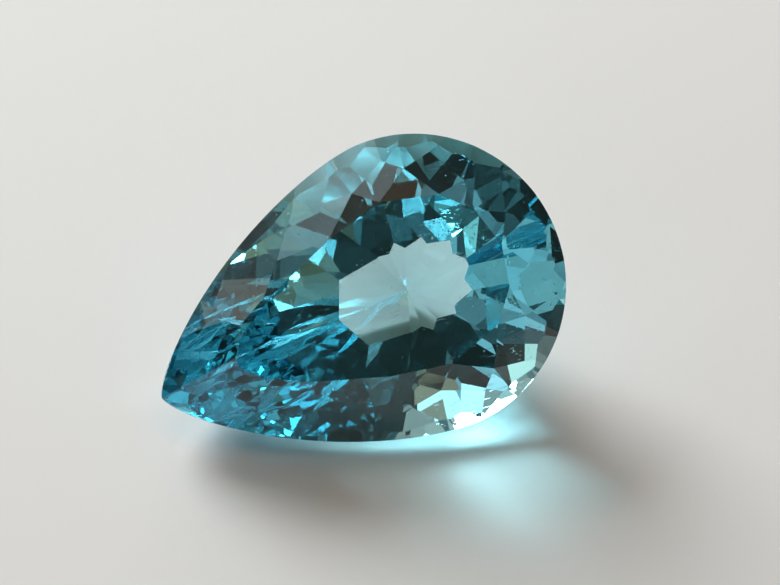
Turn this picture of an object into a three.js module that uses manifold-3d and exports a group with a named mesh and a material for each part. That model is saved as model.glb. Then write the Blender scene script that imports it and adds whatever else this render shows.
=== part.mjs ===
// A pear-cut blue topaz: one loose, faceted stone, lying on one of its lower facets.
// Millimetres. The stone is cut table up, with its round head towards +X and its tip
// towards -X, and is then turned to the way it comes to rest on a level surface.
import * as THREE from 'three';
import { mergeVertices } from 'three/addons/utils/BufferGeometryUtils.js';
import Module from 'manifold-3d';

// Outline of the girdle, seen from above the table.
const WIDTH = 16.6; // across the widest part
const HEAD_LENGTH = 8.35; // from the widest part to the round end
const TIP_LENGTH = 15.25; // from the widest part to the tip
const FLANK_SWELL = 1.57; // how slowly the flanks leave the widest part
const TIP_FULLNESS = 0.77; // under 1 rounds the tip, over 1 hollows the flanks
const HEAD_STEPS = 40; // straight pieces in a quarter of the head
const FLANK_STEPS = 48; // straight pieces in one flank

// Heights above and below the middle of the girdle.
const GIRDLE = 0.5; // thickness of the girdle
const CROWN = 2.65; // up to the table
const STAR_POINTS = 1.95; // up to the outer points of the star facets
const PAVILION = 8; // down to the culet

// Slopes of the facets, in degrees from the plane of the table.
const TIP_BREAK_SLOPE = 44;
const CULET_SLOPE = 34.5;
const HIP_SLOPE = 46.5;
const RIM_SLOPE = 52;
const TIP_FLANK_SLOPE = 40.5;
const TIP_SLOPE = 40;

// Places around the outline: 0 is the middle of the head, 1 is the widest part and
// 2 is the tip. The facets of the other side mirror these. A kite's corner at the table
// is so far along the gap between its two star points, and a star facet's outer point
// is so many millimetres in from the outline at its place.
const KITES = [
  { place: 0, corner: 0.5, slope: 33 },
  { place: 0.325, corner: 0.5, slope: 33 },
  { place: 0.64, corner: 0.38, slope: 32 },
  { place: 0.94, corner: 0.68, slope: 32 },
  { place: 1.3, corner: 0.5, slope: 34 },
  { place: 1.6, corner: 0.44, slope: 33 },
];
const STARS = [
  { place: 0.165, inset: 2.3 },
  { place: 0.475, inset: 2.3 },
  { place: 0.825, inset: 2.1 },
  { place: 1.125, inset: 2.25 },
  { place: 1.5, inset: 2.1 },
  { place: 1.71, inset: 1.7 },
];
const TIP_BREAK_PLACE = 1.9;
// Below the girdle one culet and one hip facet face each of these places. A belly facet
// lies between each two of them.
const CULET_PLACES = [0, 0.33, 0.655, 0.93, 1.27, 1.55];

// The end of the table towards the tip.
const TABLE_END = 11.2; // from the widest part to where the two wedges meet
const TABLE_END_CORNER = 10; // and to the corner of the table before it
const TABLE_END_WIDTH = 0.6; // the narrow facet between the wedges, where it is widest

// Below the girdle the facets lie in four rows: rim, hip and belly facets, and the
// culet facets that meet in the lowest point.
const RIM_INSET = 1.1; // from the outline in to where the hip facets start
const HIP_INSET = 2.6; // and to where the belly facets start
const REACH_ALONG = 3.4; // from the culet out to the belly facets, along the stone
const REACH_ACROSS = 2.3; // and across it
const TIP_FLANK_DROP = 0.4; // from mid girdle down to the top of the long facets beside the tip
const REST_FACET = 4; // the belly facet that the stone lies on, counted from the head

const HALF_WIDTH = WIDTH / 2;
const GIRDLE_TOP = GIRDLE / 2;
const GIRDLE_BOTTOM = -GIRDLE / 2;
const ROUGH = 60; // size of the blocks of waste that are ground away

const radians = THREE.MathUtils.degToRad;

// A point on the outline at the given place and height. Places below 0 and above 2
// run on round the mirrored side.
function girdlePoint(place, height = 0) {
  const side = place < 0 || place > 2 ? -1 : 1;
  const along = place > 2 ? 4 - place : Math.abs(place);
  if (along <= 1) {
    const turn = (along * Math.PI) / 2;
    return new THREE.Vector3(
      HEAD_LENGTH * Math.cos(turn), side * HALF_WIDTH * Math.sin(turn), height);
  }
  const share = along - 1;
  const swell = Math.max(1 - share ** FLANK_SWELL, 0) ** TIP_FULLNESS;
  return new THREE.Vector3(-TIP_LENGTH * share, side * HALF_WIDTH * swell, height);
}

// The level direction that faces straight out of the outline at a place.
function outwards(place) {
  const step = 0.002;
  const along = girdlePoint(place + step).sub(girdlePoint(place - step)).normalize();
  return new THREE.Vector3(along.y, -along.x, 0);
}

// The outward normal of a facet of this slope at a place: up on the crown, down below.
function facing(place, slope, upOrDown) {
  return outwards(place)
    .multiplyScalar(Math.sin(radians(slope)))
    .setZ(upOrDown * Math.cos(radians(slope)));
}

function planeAt(normal, point) {
  return new THREE.Plane().setFromNormalAndCoplanarPoint(normal, point);
}

// The plane through three points, facing away from the heart of the stone.
function planeThrough(a, b, c) {
  const plane = new THREE.Plane().setFromCoplanarPoints(a, b, c);
  return plane.constant > 0 ? plane.negate() : plane;
}

// The one point that three planes share.
function meetingPoint(p, q, r) {
  const point = new THREE.Vector3()
    .crossVectors(q.normal, r.normal)
    .multiplyScalar(-p.constant);
  point.addScaledVector(new THREE.Vector3().crossVectors(r.normal, p.normal), -q.constant);
  point.addScaledVector(new THREE.Vector3().crossVectors(p.normal, q.normal), -r.constant);
  const share = p.normal.dot(new THREE.Vector3().crossVectors(q.normal, r.normal));
  return point.divideScalar(share);
}

function mirrored(plane) {
  const normal = plane.normal.clone();
  normal.y = -normal.y;
  return new THREE.Plane(normal, plane.constant);
}

function levelPlane(height) {
  return new THREE.Plane(new THREE.Vector3(0, 0, 1), -height);
}

// A crown facet that touches the top of the girdle at a place and goes up through a point.
function riseFromGirdle(place, point) {
  const out = outwards(place);
  const rim = girdlePoint(place, GIRDLE_TOP);
  const level = new THREE.Vector3(-out.y, out.x, 0).add(rim);
  return planeThrough(rim, level, point);
}

const crownCuts = [levelPlane(CROWN)];

// The outer points of the star facets, all at one height. The one before the first
// lies on the mirrored side of the head.
const starPoints = STARS.map(({ place, inset }) =>
  girdlePoint(place, STAR_POINTS).addScaledVector(outwards(place), -inset));
const beforeFirst = starPoints[0].clone().setY(-starPoints[0].y);

// Kites: each is as long as the gap between two star points and meets the table at a corner.
const kites = KITES.map(({ place, corner: share, slope }, i) => {
  const a = starPoints[i - 1] ?? beforeFirst;
  const b = starPoints[i];
  const along = b.clone().sub(a).normalize();
  const out = new THREE.Vector3(along.y, -along.x, 0);
  const climb = CROWN - STAR_POINTS;
  const corner = a.clone().lerp(b, share).setZ(CROWN)
    .addScaledVector(out, -climb / Math.tan(radians(slope)));
  return { place, corner, plane: planeThrough(a, b, corner) };
});

// Two break facets run from each star point down to the girdle.
const breaks = starPoints.map((point, i) => {
  const before = riseFromGirdle((KITES[i].place + STARS[i].place) / 2, point);
  const nextPlace = KITES[i + 1]?.place ?? TIP_BREAK_PLACE;
  const after = riseFromGirdle((nextPlace + STARS[i].place) / 2, point);
  return { before, after };
});

kites.forEach((kite, i) => {
  const { before, after } = breaks[i];
  crownCuts.push(kite.plane, before, after);
  // The small facet under the kite's outer end.
  const previous = i > 0 ? breaks[i - 1].after : mirrored(before);
  const shoulder = meetingPoint(kite.plane, previous, before);
  crownCuts.push(riseFromGirdle(kite.place, shoulder));
  const next = kites[i + 1];
  if (next) crownCuts.push(planeThrough(kite.corner, next.corner, starPoints[i]));
});

// At the tip a long wedge runs from the end of the table to the tip on each side, and
// a narrow facet lies along the ridge between the two wedges.
const lastKite = kites[kites.length - 1];
const lastStar = starPoints[starPoints.length - 1];
const tip = girdlePoint(2, GIRDLE_TOP + 0.12);
const wedge = planeThrough(lastStar, tip, new THREE.Vector3(-TABLE_END, 0, CROWN));
const acrossStone = new THREE.Plane(new THREE.Vector3(1, 0, 0), TABLE_END_CORNER);
const endCorner = meetingPoint(wedge, acrossStone, levelPlane(CROWN));
const besideRidge = new THREE.Plane(new THREE.Vector3(0, 1, 0), -TABLE_END_WIDTH / 2);
const ridgeEnd = meetingPoint(wedge, besideRidge, levelPlane(CROWN));
crownCuts.push(wedge, planeThrough(lastKite.corner, endCorner, lastStar));
crownCuts.push(planeThrough(tip, ridgeEnd, ridgeEnd.clone().setY(0)));
crownCuts.push(planeAt(facing(TIP_BREAK_PLACE, TIP_BREAK_SLOPE, 1),
  girdlePoint(TIP_BREAK_PLACE, GIRDLE_TOP)));

const culet = new THREE.Vector3(0, 0, -PAVILION);
const pavilionCuts = [];
const hipDepth = GIRDLE / 2 + RIM_INSET * Math.tan(radians(RIM_SLOPE));
const bellyDepth = hipDepth + (HIP_INSET - RIM_INSET) * Math.tan(radians(HIP_SLOPE));

function addPavilionFacet(place, slope, start) {
  pavilionCuts.push(planeAt(facing(place, slope, -1), start));
}

// The point this far in from the outline and below the middle of the girdle.
function insidePoint(place, inset, depth) {
  return girdlePoint(place, -depth).addScaledVector(outwards(place), -inset);
}

// A belly facet runs from the culet facets, so far out from the culet, to the hip facets.
function bellySlope(place) {
  const out = outwards(place);
  const reach = Math.hypot(REACH_ALONG * out.x, REACH_ACROSS * out.y);
  const run = girdlePoint(place).dot(out) - HIP_INSET - reach;
  const rise = PAVILION - bellyDepth - reach * Math.tan(radians(CULET_SLOPE));
  return THREE.MathUtils.radToDeg(Math.atan2(rise, run));
}

CULET_PLACES.forEach((place, i) => {
  addPavilionFacet(place, CULET_SLOPE, culet);
  addPavilionFacet(place, HIP_SLOPE, insidePoint(place, RIM_INSET, hipDepth));
  const next = CULET_PLACES[i + 1] ?? 2;
  const between = (place + next) / 2;
  [(place + between) / 2, (between + next) / 2].forEach((rim) => {
    addPavilionFacet(rim, RIM_SLOPE, girdlePoint(rim, GIRDLE_BOTTOM));
  });
  if (next < 2) {
    addPavilionFacet(between, bellySlope(between), insidePoint(between, HIP_INSET, bellyDepth));
  } else {
    // Beside the tip one long facet runs from the girdle to the keel.
    addPavilionFacet(between, TIP_FLANK_SLOPE, girdlePoint(between, -TIP_FLANK_DROP));
  }
});
addPavilionFacet(2, TIP_SLOPE, girdlePoint(2, GIRDLE_BOTTOM));

// Manifold solid of a closed three.js geometry.
const wasm = await Module();
wasm.setup();

function solidOf(geometry) {
  const bare = geometry.clone();
  bare.deleteAttribute('normal');
  bare.deleteAttribute('uv');
  const merged = mergeVertices(bare, 1e-5);
  return new wasm.Manifold(new wasm.Mesh({
    numProp: 3,
    vertProperties: new Float32Array(merged.attributes.position.array),
    triVerts: new Uint32Array(merged.index.array),
  }));
}

// The pear-shaped blank that the facets are ground on.
function blank() {
  const shape = new THREE.Shape();
  const points = [];
  for (let i = 0; i <= HEAD_STEPS; i += 1) points.push(girdlePoint(i / HEAD_STEPS));
  for (let i = 1; i <= FLANK_STEPS; i += 1) {
    points.push(girdlePoint(2 - (1 - i / FLANK_STEPS) ** 1.5));
  }
  const back = points.slice(1, -1).reverse().map((p) => new THREE.Vector3(p.x, -p.y, 0));
  shape.setFromPoints([...points, ...back].map((p) => new THREE.Vector2(p.x, p.y)));
  const depth = PAVILION + CROWN + 4;
  return new THREE.ExtrudeGeometry(shape, { depth, bevelEnabled: false, curveSegments: 1 })
    .translate(0, 0, -PAVILION - 2);
}

// The block of waste beyond a facet.
function wasteBeyond(plane) {
  const up = new THREE.Vector3(0, 0, 1);
  return new THREE.BoxGeometry(ROUGH, ROUGH, ROUGH)
    .translate(0, 0, ROUGH / 2)
    .applyQuaternion(new THREE.Quaternion().setFromUnitVectors(up, plane.normal))
    .translate(...plane.normal.clone().multiplyScalar(-plane.constant).toArray());
}

let stone = solidOf(blank());
for (const plane of [...crownCuts, ...pavilionCuts]) {
  stone = stone.subtract(solidOf(wasteBeyond(plane)));
  stone = stone.subtract(solidOf(wasteBeyond(mirrored(plane))));
}

const cut = stone.getMesh();
const geometry = new THREE.BufferGeometry();
geometry.setAttribute('position', new THREE.BufferAttribute(cut.vertProperties, 3));
geometry.setIndex(new THREE.BufferAttribute(cut.triVerts, 1));

const topaz = new THREE.MeshStandardMaterial({ color: 0x35b4d6, roughness: 0.03, metalness: 0 });
const gem = new THREE.Mesh(geometry, topaz);
gem.name = 'cut_stone';

// Turn the stone until the facet that it lies on faces straight down.
const restPlace = (CULET_PLACES[REST_FACET] + CULET_PLACES[REST_FACET + 1]) / 2;
const restNormal = facing(restPlace, bellySlope(restPlace), -1);
restNormal.y = -restNormal.y;
gem.quaternion.setFromUnitVectors(restNormal, new THREE.Vector3(0, 0, -1));
gem.updateMatrixWorld(true);
const length = new THREE.Vector3(1, 0, 0).applyQuaternion(gem.quaternion);
const turn = new THREE.Quaternion().setFromAxisAngle(
  new THREE.Vector3(0, 0, 1), -Math.atan2(length.y, length.x));
gem.quaternion.premultiply(turn);
gem.updateMatrixWorld(true);
const box = new THREE.Box3().setFromObject(gem, true);
const middle = box.getCenter(new THREE.Vector3());
gem.position.set(-middle.x, -middle.y, -box.min.z);

const part = new THREE.Group();
part.name = 'pear_cut_topaz';
part.add(gem);

export default part;
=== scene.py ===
"""A loose pear-cut blue topaz, lying tilted on one of its lower facets: its finish, light and camera."""

import math

import bpy
from mathutils import Matrix, Vector

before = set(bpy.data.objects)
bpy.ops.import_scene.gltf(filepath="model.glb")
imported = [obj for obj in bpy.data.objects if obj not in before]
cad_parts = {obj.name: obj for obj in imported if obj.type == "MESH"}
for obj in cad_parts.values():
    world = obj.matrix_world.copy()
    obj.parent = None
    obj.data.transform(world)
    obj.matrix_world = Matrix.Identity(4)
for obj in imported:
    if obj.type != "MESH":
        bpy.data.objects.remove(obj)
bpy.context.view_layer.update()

MM = 0.001

# The camera, in metres from the middle of the spot the stone stands on.
EYE = Vector((-0.041783, -0.084238, 0.097538))
AIM = Vector((0.004711, 0.005717, 0.0))
ROLL = -5.67  # degrees about the line of sight
LENS = 110.8
NEAR_END = 0.005

# The room, in metres.
DAYLIGHT = (0.88, 0.965, 1.0)
SKYLIGHT = (0.70, 0.92, 1.0)
CREAM = (0.95, 0.98, 0.86)
PANEL_AWAY = 0.6  # from the stone to each lit panel
FLOOR_WIDTH = 3.0
FLOOR_GAP = 0.02 * MM  # keeps the floor just clear of the resting facet

# The clear blue crystal.
TOPAZ_IOR = 1.62
TOPAZ_TINT = (0.085, 0.735, 0.825, 1.0)
TOPAZ_DEPTH = 79.0  # how fast the tint deepens along a ray, per metre
TABLE_WAY = Vector((-0.199482, -0.627187, 0.752890))  # the way the table faces
GIRDLE_HEIGHT = 4.155 * MM  # from the origin to the middle of the girdle, that way
GIRDLE_THICKNESS = 0.5 * MM
LIGHT_TURNS = 32  # how often a ray may turn back inside the stone before it is lost

# How rough the surfaces are: the ground girdle from its smoothest to its coarsest grain, and the marks in the
# polish. The relief is the height of the girdle's grain and the depth of a pit.
GROUND_ROUGHNESS = (0.22, 0.42)
SCRATCH_ROUGHNESS = 0.10
PIT_ROUGHNESS = 0.32
SCRATCH_DEPTH = 0.35  # as a share of a pit's depth
RELIEF = 0.01 * MM


def stand_camera():
    """Looks from EYE to AIM with its top edge level, then turns by ROLL about the line of sight."""
    camera = bpy.data.objects.new("camera", bpy.data.cameras.new("camera"))
    bpy.context.scene.collection.objects.link(camera)
    sight = (AIM - EYE).normalized()
    level = sight.to_track_quat("-Z", "Y")
    camera.rotation_mode = "QUATERNION"
    camera.rotation_quaternion = Matrix.Rotation(math.radians(ROLL), 3, sight).to_quaternion() @ level
    camera.location = EYE
    camera.data.lens = LENS
    camera.data.clip_start = NEAR_END
    bpy.context.scene.camera = camera


def compass(turn, height):
    """The way to a place in the room: turn degrees round from +X, and height degrees above the floor."""
    a, e = math.radians(turn), math.radians(height)
    return Vector((math.cos(a) * math.cos(e), math.sin(a) * math.cos(e), math.sin(e)))


def softbox(name, turn, height, width, tall, radiance, colour):
    """A flat lit panel, PANEL_AWAY from the stone, that faces it. turn is its compass angle from +X in degrees,
    height its angle above the floor, and radiance how bright its face is."""
    light = bpy.data.lights.new(name, "AREA")
    light.shape = "RECTANGLE"
    light.size = width
    light.size_y = tall
    light.energy = radiance * math.pi * width * tall
    light.color = colour
    panel = bpy.data.objects.new(name, light)
    bpy.context.scene.collection.objects.link(panel)
    panel.location = compass(turn, height) * PANEL_AWAY
    panel.rotation_mode = "QUATERNION"
    panel.rotation_quaternion = panel.location.to_track_quat("Z", "Y")


def room(dusk, *glows):
    """A plain room, dusk all round. Each glow is a way, the share of that way at which it begins, and its full
    colour: it climbs evenly from its edge to its middle, and the glows add up."""
    world = bpy.data.worlds.new("studio")
    bpy.context.scene.world = world
    world.use_nodes = True
    nodes, links = world.node_tree.nodes, world.node_tree.links
    way = nodes.new("ShaderNodeTexCoord").outputs["Generated"]
    total = None
    for middle, edge, colour in glows:
        towards = nodes.new("ShaderNodeVectorMath")
        towards.operation = "DOT_PRODUCT"
        towards.inputs[1].default_value = middle
        links.new(way, towards.inputs[0])
        climb = nodes.new("ShaderNodeMapRange")
        climb.inputs["From Min"].default_value = edge
        links.new(towards.outputs["Value"], climb.inputs["Value"])
        add = nodes.new("ShaderNodeVectorMath")
        add.operation = "MULTIPLY_ADD"
        add.inputs[1].default_value = colour
        add.inputs[2].default_value = dusk
        links.new(climb.outputs["Result"], add.inputs[0])
        if total:
            links.new(total, add.inputs[2])
        total = add.outputs["Vector"]
    links.new(total, nodes["Background"].inputs["Color"])


def lay_floor():
    """A plain, pale, matt floor under the stone."""
    bpy.ops.mesh.primitive_plane_add(size=FLOOR_WIDTH)
    floor = bpy.context.object
    floor.location.z = -FLOOR_GAP
    floor.name = "floor"
    paper = bpy.data.materials.new("pale_floor")
    paper.use_nodes = True
    skin = paper.node_tree.nodes["Principled BSDF"]
    skin.inputs["Base Color"].default_value = (0.81, 0.78, 0.76, 1.0)
    skin.inputs["Roughness"].default_value = 0.85
    skin.inputs["Specular IOR Level"].default_value = 0.1
    floor.data.materials.append(paper)


def polished_topaz():
    """Clear polished crystal: all light passes, bent by TOPAZ_IOR and tinted by its way through. The girdle is
    left ground, with a fine grain, and the polish shows a few faint scratches and tiny pits."""
    finish = bpy.data.materials.new("polished_topaz")
    finish.use_nodes = True
    nodes, links = finish.node_tree.nodes, finish.node_tree.links
    skin = nodes["Principled BSDF"]
    skin.inputs["Base Color"].default_value = (1.0, 1.0, 1.0, 1.0)
    skin.inputs["IOR"].default_value = TOPAZ_IOR
    skin.inputs["Transmission Weight"].default_value = 1.0
    body = nodes.new("ShaderNodeVolumeAbsorption")
    body.inputs["Color"].default_value = TOPAZ_TINT
    body.inputs["Density"].default_value = TOPAZ_DEPTH
    links.new(body.outputs["Volume"], nodes["Material Output"].inputs["Volume"])

    def ramp(source, low, high, bottom=0.0, top=1.0):
        """Climbs from bottom to top while the source goes from low to high, and is level beyond them."""
        step = nodes.new("ShaderNodeMapRange")
        for name, value in (("From Min", low), ("From Max", high), ("To Min", bottom), ("To Max", top)):
            step.inputs[name].default_value = value
        links.new(source, step.inputs["Value"])
        return step.outputs["Result"]

    def join(kind, *sources):
        """One sum of one or two sources, each of them a number or a node's output."""
        sum_of = nodes.new("ShaderNodeMath")
        sum_of.operation = kind
        for socket, source in zip(sum_of.inputs, sources):
            if isinstance(source, float):
                socket.default_value = source
            else:
                links.new(source, socket)
        return sum_of.outputs["Value"]

    def turned(turn=(0.0, 0.0, 0.0), stretch=(1.0, 1.0, 1.0)):
        """The stone's own coordinates in millimetres, turned and then stretched for a pattern."""
        across = nodes.new("ShaderNodeMapping")
        across.inputs["Rotation"].default_value = [math.radians(a) for a in turn]
        across.inputs["Scale"].default_value = [s / MM for s in stretch]
        links.new(spot, across.inputs["Vector"])
        return across.outputs["Vector"]

    def speckle(vector, scale=1.0, detail=0.0):
        cloud = nodes.new("ShaderNodeTexNoise")
        cloud.inputs["Scale"].default_value = scale
        cloud.inputs["Detail"].default_value = detail
        links.new(vector, cloud.inputs["Vector"])
        return cloud.outputs["Fac"]

    # Height above the origin, the way the table faces.
    spot = nodes.new("ShaderNodeTexCoord").outputs["Object"]
    towards_table = nodes.new("ShaderNodeVectorMath")
    towards_table.operation = "DOT_PRODUCT"
    towards_table.inputs[1].default_value = TABLE_WAY
    links.new(spot, towards_table.inputs[0])
    height = towards_table.outputs["Value"]

    # The ground girdle, and the grain that its grinding leaves.
    from_girdle = join("ABSOLUTE", join("SUBTRACT", height, GIRDLE_HEIGHT))
    girdle = ramp(from_girdle, 0.46 * GIRDLE_THICKNESS, 0.54 * GIRDLE_THICKNESS, 1.0, 0.0)
    grain = speckle(turned(), scale=9.0, detail=3.0)
    ground = join("MULTIPLY", girdle, ramp(grain, 0.3, 0.7, *GROUND_ROUGHNESS))

    # Marks in the polish of the crown: the thin ridges of a stretched noise are scratches, and the middles of a
    # few cells are pits.
    crown = ramp(height, GIRDLE_HEIGHT + 0.4 * MM, GIRDLE_HEIGHT + 0.6 * MM)
    long_scratches = ramp(speckle(turned((20.0, 35.0, 62.0), (0.16, 7.0, 7.0))), 0.74, 0.78)
    short_scratches = ramp(speckle(turned((-25.0, 10.0, -40.0), (0.5, 12.0, 12.0))), 0.76, 0.79)
    scratches = join("MULTIPLY", crown, join("MAXIMUM", long_scratches, short_scratches))
    cells = nodes.new("ShaderNodeTexVoronoi")
    cells.inputs["Scale"].default_value = 1.3
    links.new(turned(), cells.inputs["Vector"])
    pits = join("MULTIPLY", crown, ramp(cells.outputs["Distance"], 0.05, 0.09, 1.0, 0.0))
    worn = join("MAXIMUM", join("MULTIPLY", scratches, SCRATCH_ROUGHNESS), join("MULTIPLY", pits, PIT_ROUGHNESS))
    links.new(join("MAXIMUM", ground, worn), skin.inputs["Roughness"])

    dents = join("ADD", join("MULTIPLY", scratches, -SCRATCH_DEPTH), join("MULTIPLY", pits, -1.0))
    relief = nodes.new("ShaderNodeBump")
    relief.inputs["Strength"].default_value = 0.3
    relief.inputs["Distance"].default_value = RELIEF
    links.new(join("ADD", dents, join("MULTIPLY", girdle, grain)), relief.inputs["Height"])
    links.new(relief.outputs["Normal"], skin.inputs["Normal"])
    return finish


stand_camera()
lay_floor()
room(
    (0.030, 0.025, 0.021),
    (compass(95, 22), 0.62, (0.69, 0.63, 0.57)),
    (compass(210, 8), 0.86, (0.84, 0.87, 0.90)),
    (compass(325, 58), 0.92, (0.29, 0.31, 0.30)),
    (compass(60, 85), 0.84, (0.58, 0.35, 0.19)),
)
softbox("low_window", turn=84, height=13, width=0.62, tall=0.25, radiance=3.0, colour=DAYLIGHT)
softbox("bright_pane", turn=104, height=29, width=0.33, tall=0.23, radiance=17.2, colour=DAYLIGHT)
softbox("upper_pane", turn=105, height=54, width=0.36, tall=0.18, radiance=1.5, colour=SKYLIGHT)
softbox("side_pane", turn=145, height=32, width=0.20, tall=0.17, radiance=1.2, colour=CREAM)

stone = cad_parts["cut_stone"]
topaz = polished_topaz()
for place in stone.material_slots:
    place.material = topaz

# Light that has turned inside the stone is neither blurred nor dimmed, so it falls on the floor in bright patches.
scene = bpy.context.scene
scene.cycles.max_bounces = LIGHT_TURNS
scene.cycles.transmission_bounces = LIGHT_TURNS
scene.cycles.glossy_bounces = LIGHT_TURNS
scene.cycles.blur_glossy = 0.0
scene.cycles.sample_clamp_indirect = 0.0
scene.cycles.use_denoising = True
scene.view_settings.view_transform = "Standard"
